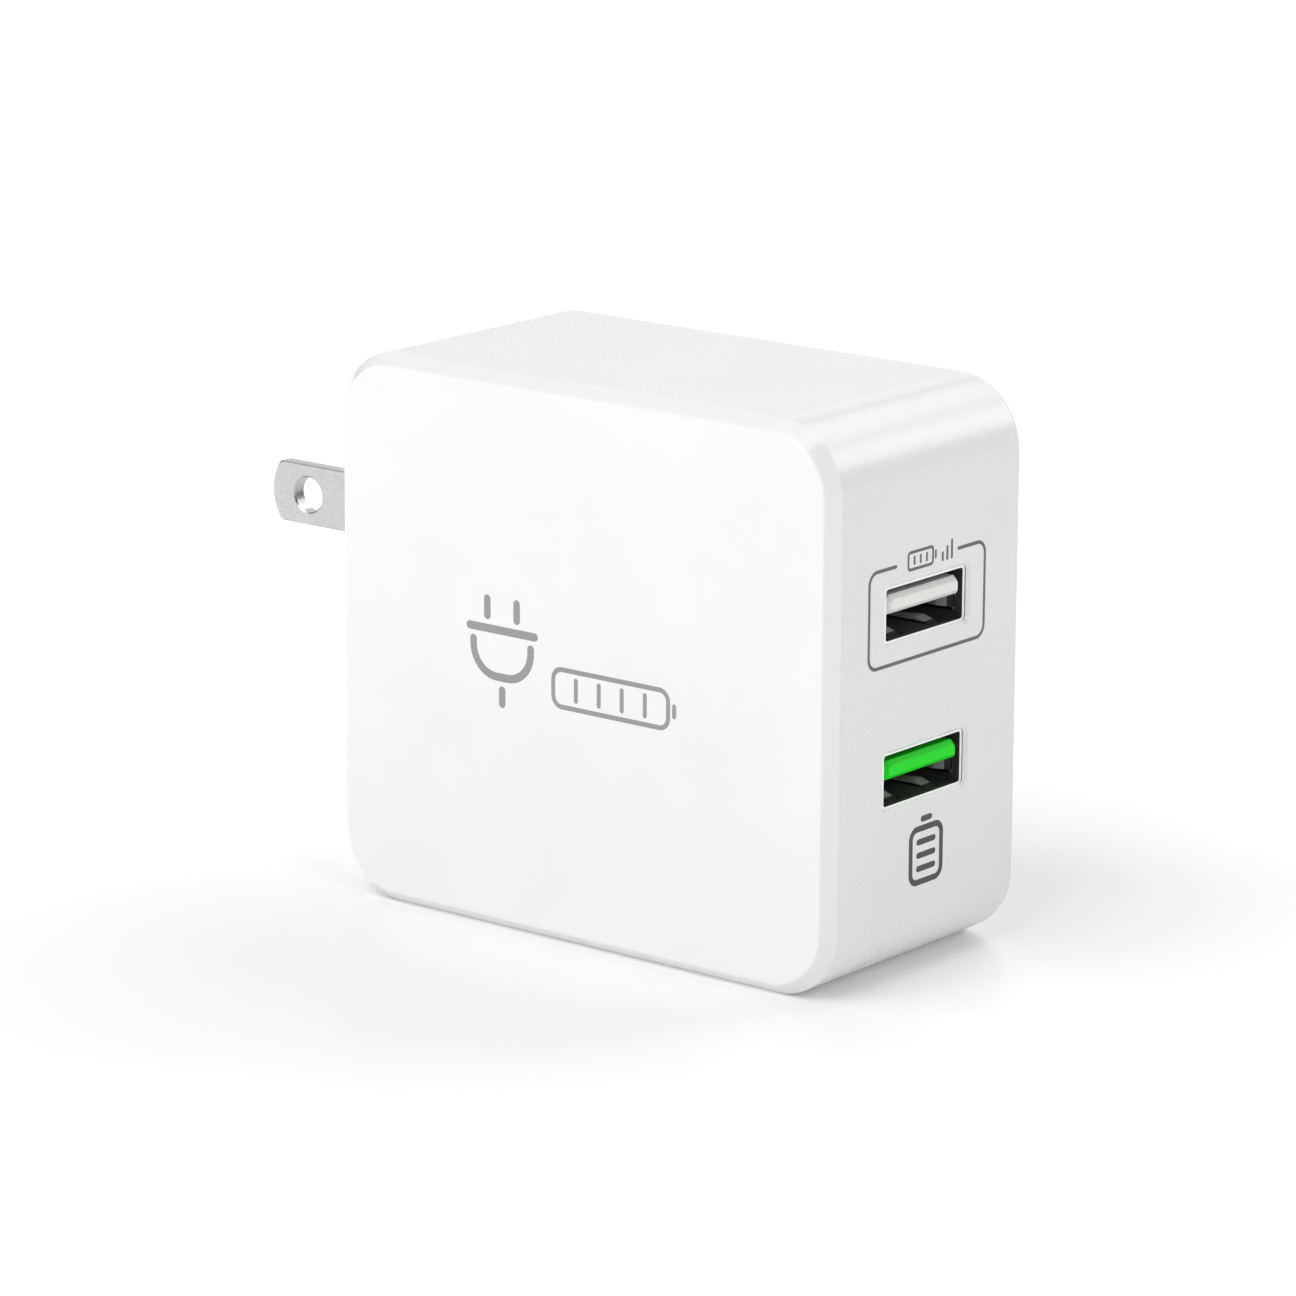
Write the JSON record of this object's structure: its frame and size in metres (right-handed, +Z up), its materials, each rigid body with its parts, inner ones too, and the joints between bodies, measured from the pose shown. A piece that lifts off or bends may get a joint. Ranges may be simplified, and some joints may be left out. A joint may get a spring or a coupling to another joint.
{
  "type": "usb wall charger",
  "caption": "Compact rounded-block wall charger with folding flat-blade mains plug on one side and stacked USB-A charging ports on the other.",
  "frame": {"origin": "centre of the housing's flat underside (the side wall it stands on)", "axes": "+X out of the USB port face, -X out of the plug face, -Y out of the large front cover, +Z up"},
  "size_m": [0.079, 0.0306, 0.057],
  "materials": {
    "housing_white": "satin",
    "cover_white": "gloss",
    "plug_plastic": "satin",
    "blade_nickel": "satin",
    "spring_bronze": "satin",
    "spring_steel": "satin",
    "shell_dark": "satin",
    "tongue_white": "satin",
    "tongue_green": "satin",
    "contact_gold": "polished",
    "board_green": "satin",
    "barrier_sheet": "satin",
    "ferrite": "matte",
    "bobbin_black": "satin",
    "copper_wire": "satin",
    "tape_yellow": "satin",
    "can_sleeve": "satin",
    "output_can": "satin",
    "film_yellow": "satin",
    "chip_black": "matte",
    "heatsink_alu": "satin",
    "fuse_body": "gloss",
    "disc_blue": "gloss",
    "lead_sleeve": "satin"
  },
  "bodies": {
    "housing": {"rear_housing": "housing_white", "front_cover": "cover_white", "prong_cradle": "plug_plastic", "prong_retainer": "plug_plastic", "contact_spring_front": "spring_bronze", "contact_spring_rear": "spring_bronze", "brake_spring": "spring_steel", "usb_shell_upper": "shell_dark", "usb_shell_lower": "shell_dark", "usb_tongue_upper": "tongue_white", "usb_tongue_lower": "tongue_green", "usb_contacts_upper": "contact_gold", "usb_contacts_lower": "contact_gold", "main_board": "board_green", "port_board": "board_green", "board_link_pins": "contact_gold", "insulating_barrier": "barrier_sheet", "transformer_core_top": "ferrite", "transformer_core_bottom": "ferrite", "transformer_bobbin": "bobbin_black", "transformer_winding": "copper_wire", "transformer_tape": "tape_yellow", "bulk_capacitors": "can_sleeve", "output_capacitors": "output_can", "x_capacitor": "film_yellow", "y_capacitor": "disc_blue", "bridge_rectifier": "chip_black", "optocoupler": "chip_black", "controller_chip": "chip_black", "switching_transistor": "chip_black", "heatsink": "heatsink_alu", "fuse": "fuse_body", "choke_core": "ferrite", "choke_windings": "copper_wire", "mains_leads": "lead_sleeve"},
    "plug": {"prong_carrier": "plug_plastic", "prong_blade_front": "blade_nickel", "prong_blade_rear": "blade_nickel"}
  },
  "joints": [
    {"name": "prong_fold", "type": "hinge", "parent": "housing", "child": "plug", "pos_m": [-0.02745, 0, 0.0386], "axis": [0, -1, 0], "range_deg": [0, 90]}
  ]
}
